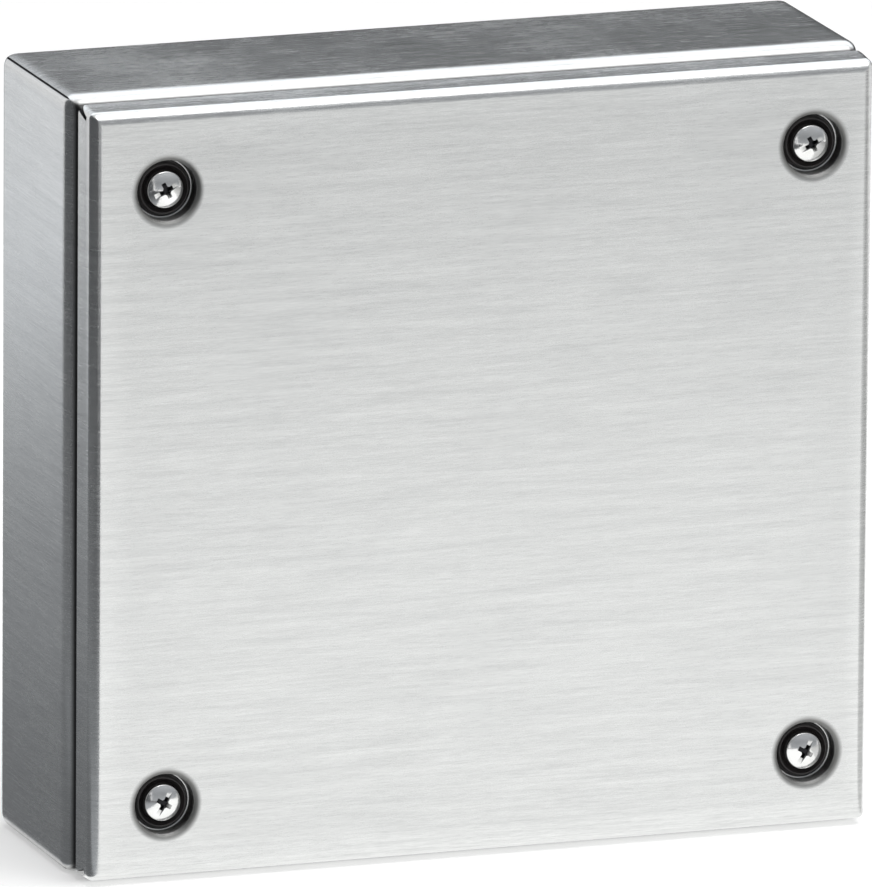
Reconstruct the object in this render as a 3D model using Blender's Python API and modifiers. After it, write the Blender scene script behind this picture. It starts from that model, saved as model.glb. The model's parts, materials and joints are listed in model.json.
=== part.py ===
"""Stainless wall box for electrical terminals: a folded body, a folded cover with pressed screw
recesses, a foamed seal, captive cover screws and the fittings inside.

Units are metres, +Z is up and the cover faces -Y. The origin is the centre of the back face, where the
box meets the wall. Across the box a place is given by its inset from the body's outer side, and along
the depth by how far it stands forward of the wall.
"""

import math

import bmesh
import bpy
from mathutils import Vector

# Overall size of the box
WIDTH = 0.200
HEIGHT = 0.1905
DEPTH = 0.0657

# Folded sheet
SHEET = 0.0015
BACK_BEND = 0.0035
RIM_BEND = 0.0042
CORNER_BEND = 0.0030
TIGHTEST_CORNER = 0.0003
SEAT_GAP = 0.0003

# Rim and upstanding lip round the mouth of the body
RIM_SETBACK = 0.0122
RIM_FLAT = 0.0003
LIP_HEIGHT = 0.0075
LIP_FOLD = 0.0005
LIP_CORNER = 0.0060

# Weld seams along the body's four corner bends
SEAM_WIDTH = 0.0004
SEAM_FADE = 0.7

# Cover
COVER_INSET = 0.0014
COVER_BEND = 0.0020
COVER_CORNER = 0.0020
COVER_GAP = 0.0020
FLANGE_SPLAY = 0.0005
CORNER_SLIT = 0.0008
SLIT_START = 0.0002
SLIT_REACH = 0.0018
SLIT_LEAN = 0.0018
GASKET_WIDTH = 0.0030

# Pressed recess round each cover screw
SCREW_INSET_X = 0.0186
SCREW_INSET_Z = 0.02025
SCREW_SHIFT_X = 0.0018
SCREW_SHIFT_Z = -0.0010
RECESS_RADIUS = 0.0071
RECESS_TAPER = 0.0005
RECESS_SHOULDER = 0.0017
RECESS_FILLET = 0.0004
RECESS_DEPTH = 0.0055
SCREW_CLEARANCE = 0.0007

# Cover screw with a slotted cross head
SCREW_RADIUS = 0.0025
SCREW_LENGTH = 0.0230
HEAD_RADIUS = 0.0045
HEAD_HEIGHT = 0.0017
HEAD_DOME = 0.0004
SLOT_WIDTH = 0.0012
SLOT_DEPTH = 0.0007
CROSS_SPAN = 0.0044
CROSS_WIDTH = 0.0011
CROSS_DEPTH = 0.0018
CROSS_TAPER = 0.45
TOP_SLOT_ANGLE = 27.0
BOTTOM_SLOT_ANGLE = 60.0

# Washer under the head, and the ring that keeps the screw on the cover
WASHER_BASE = 0.0021
WASHER_GROOVE = 0.0009
WASHER_CREST = 0.0002
WASHER_CREST_INSET = 0.0009
WASHER_SLOPE = 0.0012
WASHER_GROOVE_WIDTH = 0.0008
RUNNING_GAP = 0.0003
RETAINER_RADIUS = 0.0050
RETAINER_THICKNESS = 0.0010

# Corner brackets and threaded bushes that the screws bite in
BRACKET_LEG = 0.0320
BRACKET_NOSE = 0.0200
BRACKET_SHEET = 0.0020
BUSH_RADIUS = 0.0050
BUSH_LENGTH = 0.0080

# Holes in the back panel for the wall screws
WALL_HOLE_RADIUS = 0.00325
WALL_HOLE_INSET = 0.0350
STOPPER_CLEARANCE = 0.0003
STOPPER_FLANGE = 0.0020
STOPPER_THICKNESS = 0.0014

# Bosses on the back panel for a rail or a plate
BOSS_INSET_X = 0.0600
BOSS_INSET_Z = 0.0450
BOSS_RADIUS = 0.0045
BOSS_HEIGHT = 0.0080
BOSS_HOLE_RADIUS = 0.0021
BOSS_HOLE_DEPTH = 0.0060

# Earth studs, one in the body and one in the cover
EARTH_RADIUS = 0.0030
EARTH_LENGTH = 0.0200
EARTH_COLLAR_RADIUS = 0.0060
EARTH_COLLAR_HEIGHT = 0.0025
EARTH_WASHER_RADIUS = 0.0060
EARTH_WASHER_THICKNESS = 0.0012
EARTH_NUT_FLATS = 0.0100
EARTH_NUT_HEIGHT = 0.0050
EARTH_INSET = 0.0400
EARTH_HEIGHT = 0.0200

# How finely bends and turned parts are faceted
BEND_STEPS = 4
FILLET_STEPS = 2
CORNER_STEPS = 4
CIRCLE_STEPS = 28
INNER_CIRCLE_STEPS = 16

# Places along the depth that follow from the sizes above
RIM_FORWARD = DEPTH - RIM_SETBACK
LIP_INSET = RIM_BEND + RIM_FLAT + LIP_FOLD
LIP_FORWARD = RIM_FORWARD + LIP_HEIGHT
COVER_INSIDE = DEPTH - SHEET
RECESS_FLOOR = DEPTH - RECESS_DEPTH
WASHER_SEAT = RECESS_FLOOR + SEAT_GAP
HEAD_SEAT = WASHER_SEAT + WASHER_BASE + SEAT_GAP
BRACKET_TOP = RIM_FORWARD - RIM_BEND - SEAT_GAP
BUSH_TOP = BRACKET_TOP - BRACKET_SHEET - SEAT_GAP
SCREW_HOLE_RADIUS = SCREW_RADIUS + SCREW_CLEARANCE
SLIP_RADIUS = SCREW_RADIUS + RUNNING_GAP

# Screw places, named by the corner as seen from the front
SCREW_CORNERS = {
    "top_left": (-1, 1, TOP_SLOT_ANGLE),
    "top_right": (1, 1, TOP_SLOT_ANGLE),
    "bottom_left": (-1, -1, BOTTOM_SLOT_ANGLE),
    "bottom_right": (1, -1, BOTTOM_SLOT_ANGLE),
}


# Scene and materials

def clear_scene():
    """Removes the objects that the start-up file holds."""
    for old in list(bpy.data.objects):
        bpy.data.objects.remove(old, do_unlink=True)


def new_collection(name):
    collection = bpy.data.collections.new(name)
    bpy.context.scene.collection.children.link(collection)
    return collection


def new_material(name, colour, roughness, metallic):
    material = bpy.data.materials.new(name)
    material.use_nodes = True
    shader = material.node_tree.nodes["Principled BSDF"]
    shader.inputs["Base Color"].default_value = (*colour, 1.0)
    shader.inputs["Roughness"].default_value = roughness
    shader.inputs["Metallic"].default_value = metallic
    return material


def new_object(name, mesh, collection, material=None):
    piece = bpy.data.objects.new(name, mesh)
    collection.objects.link(piece)
    if material is not None:
        mesh.materials.append(material)
    return piece


def mesh_from(bm, name):
    """Closes the bmesh into a mesh with its faces pointing out."""
    bmesh.ops.recalc_face_normals(bm, faces=bm.faces)
    mesh = bpy.data.meshes.new(name)
    bm.to_mesh(mesh)
    bm.free()
    return mesh


def shade(piece, degrees=30.0):
    piece.data.shade_smooth()
    piece.data.set_sharp_from_angle(angle=math.radians(degrees))


# Rings, lofts and fills

def at(x, z, forward):
    """A point of the box from its place across and its distance forward of the wall."""
    return Vector((x, -forward, z))


def rectangle_ring(inset, forward, corner):
    """A rounded rectangle inside the body's outline, as seen from the front, anticlockwise."""
    radius = max(corner, TIGHTEST_CORNER)
    half_x = WIDTH / 2 - inset - radius
    half_z = HEIGHT / 2 - inset - radius
    ring = []
    for quarter, (side_x, side_z) in enumerate(((1, 1), (-1, 1), (-1, -1), (1, -1))):
        for step in range(CORNER_STEPS + 1):
            turn = math.pi / 2 * (quarter + step / CORNER_STEPS)
            x = side_x * half_x + radius * math.cos(turn)
            z = side_z * half_z + radius * math.sin(turn)
            ring.append(at(x, z, forward))
    return ring


def circle_ring(x, z, radius, forward, steps=CIRCLE_STEPS):
    """A circle facing forward, as seen from the front, anticlockwise."""
    turns = [2 * math.pi * step / steps for step in range(steps)]
    return [at(x + radius * math.cos(turn), z + radius * math.sin(turn), forward) for turn in turns]


def bend(centre_across, centre_forward, radius, start, end, steps=BEND_STEPS):
    """The (across, forward) points of a round bend between two directions in degrees."""
    points = []
    for step in range(steps + 1):
        turn = math.radians(start + (end - start) * step / steps)
        across = centre_across + radius * math.cos(turn)
        points.append((across, centre_forward + radius * math.sin(turn)))
    return points


def loft(bm, rings):
    """Skins each ring to the next with quads and returns the rings' vertices."""
    loops = [[bm.verts.new(point) for point in ring] for ring in rings]
    for near, far in zip(loops, loops[1:]):
        for here, after in zip(range(len(near)), [*range(1, len(near)), 0]):
            bm.faces.new((near[here], near[after], far[after], far[here]))
    return loops


def fill(bm, outline, holes=()):
    """Fills the flat face inside an outline, round any holes in it."""
    edges = []
    for loop in (outline, *holes):
        for first, second in zip(loop, loop[1:] + loop[:1]):
            edge = bm.edges.get((first, second)) or bm.edges.new((first, second))
            edges.append(edge)
    bmesh.ops.triangle_fill(bm, use_beauty=True, use_dissolve=False, edges=edges)


def plate(name, outline, hole, low, high, collection, material):
    """A flat plate of any outline with one round hole, between two distances from the wall."""
    x, z, radius = hole
    bm = bmesh.new()
    sides = loft(bm, [[at(px, pz, low) for px, pz in outline], [at(px, pz, high) for px, pz in outline]])
    walls = loft(bm, [circle_ring(x, z, radius, forward, INNER_CIRCLE_STEPS) for forward in (low, high)])
    for rim, edge in zip(sides, walls):
        fill(bm, rim, [edge])
    return new_object(name, mesh_from(bm, name), collection, material)


def turned(name, profile, place, collection, material, closed=False, steps=INNER_CIRCLE_STEPS):
    """A turned piece: a (radius, height) profile spun about its own axis, which points forward."""
    mesh = bpy.data.meshes.new(name)
    edges = [(here, here + 1) for here in range(len(profile) - 1)]
    if closed:
        edges.append((len(profile) - 1, 0))
    mesh.from_pydata([(radius, 0.0, height) for radius, height in profile], edges, [])
    piece = new_object(name, mesh, collection, material)
    piece.location = place
    piece.rotation_euler = (math.pi / 2, 0.0, 0.0)
    spin = piece.modifiers.new("spin", "SCREW")
    spin.axis = "Z"
    spin.angle = 2 * math.pi
    spin.steps = steps
    spin.render_steps = steps
    spin.use_merge_vertices = True
    spin.merge_threshold = 0.00001
    spin.use_smooth_shade = False
    return piece


def cut(piece, cutter):
    """Cuts a hidden tool shape out of a piece."""
    cutter.hide_render = True
    cutter.display_type = "WIRE"
    difference = piece.modifiers.new(f"cut_{cutter.name}", "BOOLEAN")
    difference.operation = "DIFFERENCE"
    difference.object = cutter


def block(name, size, place, collection):
    """A plain box centred on a place, used as a cutter."""
    bm = bmesh.new()
    bmesh.ops.create_cube(bm, size=1.0)
    bmesh.ops.scale(bm, vec=size, verts=bm.verts)
    piece = new_object(name, mesh_from(bm, name), collection)
    piece.location = place
    return piece


def drill(name, radius, length, place, collection):
    """A cylinder along the depth, centred on a place, used as a cutter."""
    bm = bmesh.new()
    bmesh.ops.create_cone(
        bm, cap_ends=True, segments=CIRCLE_STEPS, radius1=radius, radius2=radius, depth=length
    )
    piece = new_object(name, mesh_from(bm, name), collection)
    piece.location = place
    piece.rotation_euler = (math.pi / 2, 0.0, 0.0)
    return piece


def screw_place(side_x, side_z):
    x = side_x * (WIDTH / 2 - SCREW_INSET_X) + SCREW_SHIFT_X
    z = side_z * (HEIGHT / 2 - SCREW_INSET_Z) + SCREW_SHIFT_Z
    return x, z


# Body

def body_profile():
    """(inset, forward, corner radius) along the sheet, from the back's outside to the back's inside."""
    back = bend(BACK_BEND, BACK_BEND, BACK_BEND, 270, 180)
    rim = bend(RIM_BEND, RIM_FORWARD - RIM_BEND, RIM_BEND, 180, 90)
    fold_across = LIP_INSET - LIP_FOLD
    fold_forward = RIM_FORWARD + LIP_FOLD
    fold = bend(fold_across, fold_forward, LIP_FOLD, 270, 360, FILLET_STEPS)
    under_fold = bend(fold_across, fold_forward, LIP_FOLD + SHEET, 360, 270, FILLET_STEPS)
    under_rim = bend(RIM_BEND, RIM_FORWARD - RIM_BEND, RIM_BEND - SHEET, 90, 180)
    under_back = bend(BACK_BEND, BACK_BEND, BACK_BEND - SHEET, 180, 270)
    lip = [(LIP_INSET, LIP_FORWARD), (LIP_INSET + SHEET, LIP_FORWARD)]

    def folded(points):
        return [(inset, forward, CORNER_BEND - inset) for inset, forward in points]

    def upstanding(points):
        return [(inset, forward, LIP_CORNER - (inset - LIP_INSET)) for inset, forward in points]

    outside = folded(back + rim) + upstanding(fold)
    return outside + upstanding(lip + under_fold) + folded(under_rim + under_back)


def make_body(parts, tools, material):
    bm = bmesh.new()
    loops = loft(bm, [rectangle_ring(*station) for station in body_profile()])
    fill(bm, loops[0])
    fill(bm, loops[-1])
    body = new_object("box_body", mesh_from(bm, "box_body"), parts, material)
    seam_inset = CORNER_BEND * (1 - math.sqrt(0.5))
    seam_start, seam_end = SEAM_FADE * BACK_BEND, RIM_FORWARD - SEAM_FADE * RIM_BEND
    for side_x in (-1, 1):
        for side_z in (-1, 1):
            corner = f"{side_x}_{side_z}"
            hole_x = side_x * (WIDTH / 2 - WALL_HOLE_INSET)
            hole_z = side_z * (HEIGHT / 2 - WALL_HOLE_INSET)
            hole_place = at(hole_x, hole_z, SHEET / 2)
            cut(body, drill(f"wall_drill_{corner}", WALL_HOLE_RADIUS, 4 * SHEET, hole_place, tools))
            seam_x = side_x * (WIDTH / 2 - seam_inset)
            seam_z = side_z * (HEIGHT / 2 - seam_inset)
            seam_place = at(seam_x, seam_z, (seam_start + seam_end) / 2)
            seam_size = (SEAM_WIDTH, seam_end - seam_start, SEAM_WIDTH)
            cut(body, block(f"seam_{corner}", seam_size, seam_place, tools))
    return body


# Cover, its seal and its recesses

def cover_profile():
    """(inset, forward, corner radius) along the sheet, from the front face round the flange to the inside."""
    outer = bend(COVER_BEND, DEPTH - COVER_BEND, COVER_BEND, 90, 180)
    inner = bend(COVER_BEND, DEPTH - COVER_BEND, COVER_BEND - SHEET, 180, 90)
    rear = RIM_FORWARD + COVER_GAP
    edge = [(-FLANGE_SPLAY, rear), (SHEET - FLANGE_SPLAY, rear)]
    section = outer + edge + inner
    return [(COVER_INSET + across, forward, COVER_CORNER - across) for across, forward in section]


def recess_profile():
    """(radius, forward) down the front of a recess, through its hole and back up behind it."""
    shoulder_radius = RECESS_RADIUS + RECESS_TAPER + RECESS_SHOULDER
    floor_radius = RECESS_RADIUS - RECESS_FILLET
    shoulder = bend(shoulder_radius, DEPTH - RECESS_SHOULDER, RECESS_SHOULDER, 90, 180)
    fillet = bend(floor_radius, RECESS_FLOOR + RECESS_FILLET, RECESS_FILLET, 360, 270, FILLET_STEPS)
    hole = [(SCREW_HOLE_RADIUS, RECESS_FLOOR), (SCREW_HOLE_RADIUS, RECESS_FLOOR - SHEET)]
    behind_radius = RECESS_FILLET + SHEET
    behind_fillet = bend(floor_radius, RECESS_FLOOR + RECESS_FILLET, behind_radius, 270, 360, FILLET_STEPS)
    behind_shoulder = bend(shoulder_radius, DEPTH - RECESS_SHOULDER, RECESS_SHOULDER - SHEET, 180, 90)
    return shoulder + fillet + hole + behind_fillet + behind_shoulder


def make_cover(parts, tools, material):
    bm = bmesh.new()
    loops = loft(bm, [rectangle_ring(*station) for station in cover_profile()])
    fronts, backs = [], []
    for side_x, side_z, _ in SCREW_CORNERS.values():
        x, z = screw_place(side_x, side_z)
        recess = loft(bm, [circle_ring(x, z, radius, forward) for radius, forward in recess_profile()])
        fronts.append(recess[0])
        backs.append(recess[-1])
    fill(bm, loops[0], fronts)
    fill(bm, loops[-1], backs)
    cover = new_object("cover", mesh_from(bm, "cover"), parts, material)
    slit_length = DEPTH - COVER_BEND - RIM_FORWARD - COVER_GAP - CORNER_SLIT
    lean = math.atan2(SLIT_LEAN, slit_length)
    for side_x in (-1, 1):
        for side_z in (-1, 1):
            x = side_x * (WIDTH / 2 - COVER_INSET)
            z = side_z * (HEIGHT / 2 - COVER_INSET - SLIT_START)
            slit_place = at(x, z, RIM_FORWARD + COVER_GAP)
            size = (2 * SLIT_REACH, 2 * slit_length, CORNER_SLIT)
            slit = block(f"slit_{side_x}_{side_z}", size, slit_place, tools)
            slit.rotation_euler = (side_z * lean, 0.0, 0.0)
            cut(cover, slit)
    return cover


def make_gasket(parts, material):
    """The foamed seal: a ring of rectangular section over the body's lip."""
    middle = LIP_INSET + SHEET / 2
    low = LIP_FORWARD + SEAT_GAP
    high = COVER_INSIDE - SEAT_GAP
    outer, inner = middle - GASKET_WIDTH / 2, middle + GASKET_WIDTH / 2
    section = [(outer, low), (outer, high), (inner, high), (inner, low), (outer, low)]
    bm = bmesh.new()
    rings = [rectangle_ring(inset, forward, LIP_CORNER - (inset - LIP_INSET)) for inset, forward in section]
    loft(bm, rings)
    bmesh.ops.remove_doubles(bm, verts=bm.verts, dist=0.000001)
    return new_object("cover_gasket", mesh_from(bm, "cover_gasket"), parts, material)


# Cover screws and what they pass through

def tapered_wing(name, place, turn, tools):
    """One wing pair of the cross recess: a block that narrows towards its bottom."""
    bm = bmesh.new()
    bmesh.ops.create_cube(bm, size=1.0)
    bmesh.ops.scale(bm, vec=(CROSS_SPAN, CROSS_WIDTH, 2 * CROSS_DEPTH), verts=bm.verts)
    for vertex in bm.verts:
        vertex.co.x *= CROSS_TAPER if vertex.co.z < 0 else 2 - CROSS_TAPER
    wing = new_object(name, mesh_from(bm, name), tools)
    wing.location = place
    wing.rotation_euler = (math.pi / 2, -turn, 0.0)
    return wing


def make_screw(corner, side_x, side_z, slot_degrees, parts, tools, material):
    x, z = screw_place(side_x, side_z)
    top = HEAD_HEIGHT + HEAD_DOME
    profile = [
        (0.0, top),
        (HEAD_RADIUS * 0.45, HEAD_HEIGHT + HEAD_DOME * 0.85),
        (HEAD_RADIUS * 0.80, HEAD_HEIGHT + HEAD_DOME * 0.40),
        (HEAD_RADIUS - HEAD_DOME / 2, HEAD_HEIGHT),
        (HEAD_RADIUS, HEAD_HEIGHT - HEAD_DOME),
        (HEAD_RADIUS, 0.0),
        (SCREW_RADIUS, 0.0),
        (SCREW_RADIUS, -SCREW_LENGTH + SCREW_RADIUS / 2),
        (SCREW_RADIUS / 2, -SCREW_LENGTH),
        (0.0, -SCREW_LENGTH),
    ]
    place = at(x, z, HEAD_SEAT)
    screw = turned(f"cover_screw_{corner}", profile, place, parts, material, steps=CIRCLE_STEPS)
    turn = math.radians(slot_degrees)
    crown = at(x, z, HEAD_SEAT + top)
    slot = block(f"slot_{corner}", (4 * HEAD_RADIUS, 2 * SLOT_DEPTH, SLOT_WIDTH), crown, tools)
    slot.rotation_euler = (0.0, -turn, 0.0)
    cut(screw, slot)
    cut(screw, tapered_wing(f"wing_a_{corner}", crown, turn, tools))
    cut(screw, tapered_wing(f"wing_b_{corner}", crown, turn + math.pi / 2, tools))
    return screw


def make_seal_washer(corner, side_x, side_z, parts, material):
    """The black washer that seals the screw hole: the head's seat, a groove round it and a raised crest."""
    x, z = screw_place(side_x, side_z)
    outer = RECESS_RADIUS - SEAT_GAP
    floor_edge = outer - RECESS_FILLET
    crest = outer - WASHER_CREST_INSET
    crest_height = WASHER_BASE + WASHER_CREST
    profile = [
        (HEAD_RADIUS, WASHER_BASE),
        (HEAD_RADIUS + WASHER_GROOVE_WIDTH / 2, WASHER_BASE - WASHER_GROOVE),
        (crest, crest_height),
        (outer, crest_height - WASHER_SLOPE),
        (outer, RECESS_FILLET),
        (floor_edge, 0.0),
        (SLIP_RADIUS, 0.0),
        (SLIP_RADIUS, WASHER_BASE),
    ]
    place = at(x, z, WASHER_SEAT)
    return turned(f"seal_washer_{corner}", profile, place, parts, material, True, CIRCLE_STEPS)


def ring_profile(inner, outer, thickness):
    return [(inner, thickness), (outer, thickness), (outer, 0.0), (inner, 0.0)]


def make_retainer(corner, side_x, side_z, parts, material):
    """The ring behind the cover that keeps the screw captive."""
    x, z = screw_place(side_x, side_z)
    forward = RECESS_FLOOR - SHEET - SEAT_GAP - RETAINER_THICKNESS
    profile = ring_profile(SLIP_RADIUS, RETAINER_RADIUS, RETAINER_THICKNESS)
    return turned(f"screw_retainer_{corner}", profile, at(x, z, forward), parts, material, closed=True)


def make_bracket(corner, side_x, side_z, parts, material):
    """The plate welded in the body's corner, cut across its inner corner."""
    edge = SHEET + SEAT_GAP
    relief = edge + CORNER_BEND - SHEET
    insets = [
        (relief, edge),
        (BRACKET_LEG, edge),
        (BRACKET_LEG, BRACKET_NOSE),
        (BRACKET_NOSE, BRACKET_LEG),
        (edge, BRACKET_LEG),
        (edge, relief),
    ]
    outline = [(side_x * (WIDTH / 2 - across), side_z * (HEIGHT / 2 - up)) for across, up in insets]
    x, z = screw_place(side_x, side_z)
    low = BRACKET_TOP - BRACKET_SHEET
    hole = (x, z, SCREW_HOLE_RADIUS)
    return plate(f"corner_bracket_{corner}", outline, hole, low, BRACKET_TOP, parts, material)


def make_bush(corner, side_x, side_z, parts, material):
    """The threaded bush welded under the bracket."""
    x, z = screw_place(side_x, side_z)
    profile = ring_profile(SLIP_RADIUS, BUSH_RADIUS, BUSH_LENGTH)
    place = at(x, z, BUSH_TOP - BUSH_LENGTH)
    return turned(f"threaded_bush_{corner}", profile, place, parts, material, closed=True)


# Fittings on the back panel and on the cover

def make_stopper(corner, side_x, side_z, parts, material):
    """The stopper that closes a wall hole from inside until the hole is used."""
    x = side_x * (WIDTH / 2 - WALL_HOLE_INSET)
    z = side_z * (HEIGHT / 2 - WALL_HOLE_INSET)
    stem = WALL_HOLE_RADIUS - STOPPER_CLEARANCE
    flange = WALL_HOLE_RADIUS + STOPPER_FLANGE
    seat = SHEET + SEAT_GAP
    profile = [
        (0.0, seat + STOPPER_THICKNESS),
        (flange, seat + STOPPER_THICKNESS),
        (flange, seat),
        (stem, seat),
        (stem, SEAT_GAP),
        (0.0, SEAT_GAP),
    ]
    return turned(f"wall_hole_stopper_{corner}", profile, at(x, z, 0.0), parts, material)


def make_boss(name, side_x, side_z, parts, material):
    x = side_x * (WIDTH / 2 - BOSS_INSET_X)
    z = side_z * (HEIGHT / 2 - BOSS_INSET_Z)
    bottom = BOSS_HEIGHT - BOSS_HOLE_DEPTH
    profile = [
        (0.0, bottom),
        (BOSS_HOLE_RADIUS, bottom),
        (BOSS_HOLE_RADIUS, BOSS_HEIGHT),
        (BOSS_RADIUS, BOSS_HEIGHT),
        (BOSS_RADIUS, 0.0),
        (0.0, 0.0),
    ]
    return turned(name, profile, at(x, z, SHEET + SEAT_GAP), parts, material)


def hexagon(x, z, flats):
    radius = flats / math.sqrt(3)
    corners = [math.pi / 3 * step for step in range(6)]
    return [(x + radius * math.cos(turn), z + radius * math.sin(turn)) for turn in corners]


def make_earth_point(prefix, x, z, base, way, parts, material):
    """A stud with a collar, a washer and a nut. way is 1 if the stud points forward, -1 if it points back."""
    collar = [
        (0.0, EARTH_LENGTH),
        (EARTH_RADIUS, EARTH_LENGTH),
        (EARTH_RADIUS, EARTH_COLLAR_HEIGHT),
        (EARTH_COLLAR_RADIUS, EARTH_COLLAR_HEIGHT),
        (EARTH_COLLAR_RADIUS, 0.0),
        (0.0, 0.0),
    ]
    stud = turned(f"{prefix}_earth_stud", collar, at(x, z, base), parts, material)
    stud.rotation_euler = (way * math.pi / 2, 0.0, 0.0)
    washer_low = EARTH_COLLAR_HEIGHT + SEAT_GAP
    nut_low = washer_low + EARTH_WASHER_THICKNESS + SEAT_GAP
    bore = EARTH_RADIUS + RUNNING_GAP
    washer_profile = ring_profile(bore, EARTH_WASHER_RADIUS, EARTH_WASHER_THICKNESS)
    washer_place = at(x, z, base + way * washer_low)
    washer = turned(f"{prefix}_earth_washer", washer_profile, washer_place, parts, material, closed=True)
    washer.rotation_euler = stud.rotation_euler
    ends = sorted((base + way * nut_low, base + way * (nut_low + EARTH_NUT_HEIGHT)))
    plate(f"{prefix}_earth_nut", hexagon(x, z, EARTH_NUT_FLATS), (x, z, bore), *ends, parts, material)


def main():
    clear_scene()
    parts = new_collection("terminal_box")
    tools = new_collection("cutters")
    brushed = new_material("brushed_stainless", (0.62, 0.62, 0.61), 0.34, 1.0)
    zinc = new_material("zinc_plated_steel", (0.74, 0.75, 0.77), 0.22, 1.0)
    black = new_material("black_plastic", (0.020, 0.018, 0.018), 0.40, 0.0)
    foam = new_material("seal_foam", (0.035, 0.035, 0.038), 0.85, 0.0)
    brass = new_material("brass", (0.80, 0.62, 0.30), 0.30, 1.0)

    smooth = [make_body(parts, tools, brushed), make_cover(parts, tools, brushed)]
    make_gasket(parts, foam)
    for corner, (side_x, side_z, slot_degrees) in SCREW_CORNERS.items():
        make_screw(corner, side_x, side_z, slot_degrees, parts, tools, zinc)
        make_seal_washer(corner, side_x, side_z, parts, black)
        make_retainer(corner, side_x, side_z, parts, black)
        make_bracket(corner, side_x, side_z, parts, brushed)
        make_bush(corner, side_x, side_z, parts, zinc)
        make_boss(f"rail_boss_{corner}", side_x, side_z, parts, zinc)
        make_stopper(corner, side_x, side_z, parts, black)
    body_base = SHEET + SEAT_GAP
    cover_base = COVER_INSIDE - SEAT_GAP
    earth_x = WIDTH / 2 - EARTH_INSET
    make_earth_point("body", -earth_x, -EARTH_HEIGHT, body_base, 1, parts, brass)
    make_earth_point("cover", earth_x, EARTH_HEIGHT, cover_base, -1, parts, brass)
    for piece in smooth:
        shade(piece)


main()
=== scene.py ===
"""Dresses the stainless terminal box: finely bent sheet, detailed screws, brushed metal and studio light.

Metres, +Z up, the cover faces -Y and the wall is at y = 0. "Forward" is the distance from the wall.
"""

import json
import math

import bmesh
import bpy
import numpy as np
from mathutils import Matrix, Vector


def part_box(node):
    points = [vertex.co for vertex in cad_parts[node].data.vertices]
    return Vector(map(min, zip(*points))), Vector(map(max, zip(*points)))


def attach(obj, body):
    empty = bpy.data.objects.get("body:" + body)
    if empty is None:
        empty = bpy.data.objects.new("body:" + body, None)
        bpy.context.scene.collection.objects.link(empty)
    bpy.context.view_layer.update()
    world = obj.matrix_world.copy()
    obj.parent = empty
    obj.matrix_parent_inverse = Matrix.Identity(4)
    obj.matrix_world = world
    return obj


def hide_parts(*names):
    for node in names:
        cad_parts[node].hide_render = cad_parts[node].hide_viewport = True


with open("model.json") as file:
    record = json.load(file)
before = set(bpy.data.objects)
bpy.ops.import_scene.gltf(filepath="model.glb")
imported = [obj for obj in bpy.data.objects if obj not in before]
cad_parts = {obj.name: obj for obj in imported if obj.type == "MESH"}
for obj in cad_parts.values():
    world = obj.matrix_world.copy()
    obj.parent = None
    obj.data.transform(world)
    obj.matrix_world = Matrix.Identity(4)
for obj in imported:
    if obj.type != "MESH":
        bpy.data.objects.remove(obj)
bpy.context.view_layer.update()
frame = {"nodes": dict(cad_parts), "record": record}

# Sizes of the sheet work, the same as in the solids
SHEET = 0.0015
BACK_BEND = 0.0035
RIM_BEND = 0.0042
BODY_CORNER = 0.0030
TIGHTEST_CORNER = 0.0003
RIM_FLAT = 0.0003
LIP_FOLD = 0.0005
LIP_HEIGHT = 0.0075
LIP_CORNER = 0.0060
SEAM_WIDTH = 0.0004
SEAM_FADE = 0.7
FLANGE_SPLAY = 0.0005
SLIT_START = 0.0002
SLIT_REACH = 0.0018
SLIT_LEAN = 0.0018
RECESS_RADIUS = 0.0071
RECESS_TAPER = 0.0005
RECESS_SHOULDER = 0.0017
RECESS_FILLET = 0.0004
RECESS_DEPTH = 0.0055
SCREW_HOLE_RADIUS = 0.0032
WALL_HOLE_RADIUS = 0.00325

# Sheet forms that are finer than in the solids, or a little different from them
RIM_REACH = 0.0060
CORNER_EASE = 1.5
CORNER_POWER = 0.627
COVER_BEND = 0.0028
COVER_SETBACK = 0.0012
COVER_CORNER = 0.0016
CORNER_SLIT = 0.0011
MOUTH_RADIUS = 0.0090
DISH_ROUND = 0.0030
DISH_DEGREES = 12
MOUTH_ROUND = 0.0013
LEDGE_RADIUS = 0.0072
LEDGE_DEPTH = 0.0041
LEDGE_WIDTH = 0.0003

# Cover screw and its black washer
HEAD_RADIUS = 0.0045
HEAD_HEIGHT = 0.0009
HEAD_DOME = 0.0012
HEAD_EDGE = 0.0004
HEAD_EDGE_DEGREES = 68
DOME_MIDDLE = 0.02
SHANK_RADIUS = 0.0025
SHANK_LENGTH = 0.0230
THREAD_PITCH = 0.0008
THREAD_DEPTH = 0.0004
SLOT_WIDTH = 0.0012
SLOT_DEPTH = 0.0007
CROSS_SPAN = 0.0044
CROSS_WIDTH = 0.0011
CROSS_DEPTH = 0.0018
CROSS_TAPER = 0.45
CROSS_HOLE = 0.0011
CROSS_HOLE_TAPER = 0.3
CLEAR_OF_HEAD = 0.0005
NECK_LENGTH = 0.0010
THREAD_END = 0.0012
THREAD_POINT = 0.25
SHANK_GAP = 0.0003
WASHER_BASE = 0.0021
WASHER_GROOVE = 0.0009
WASHER_GROOVE_WIDTH = 0.0008
WASHER_CREST = 0.0002
WASHER_CREST_INSET = 0.0009
WASHER_SLOPE = 0.0012
CREST_ROUND = 0.0002
SLOT_DEGREES = {"top_left": 27.0, "top_right": 27.0, "bottom_left": 60.0, "bottom_right": 60.0}

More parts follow.
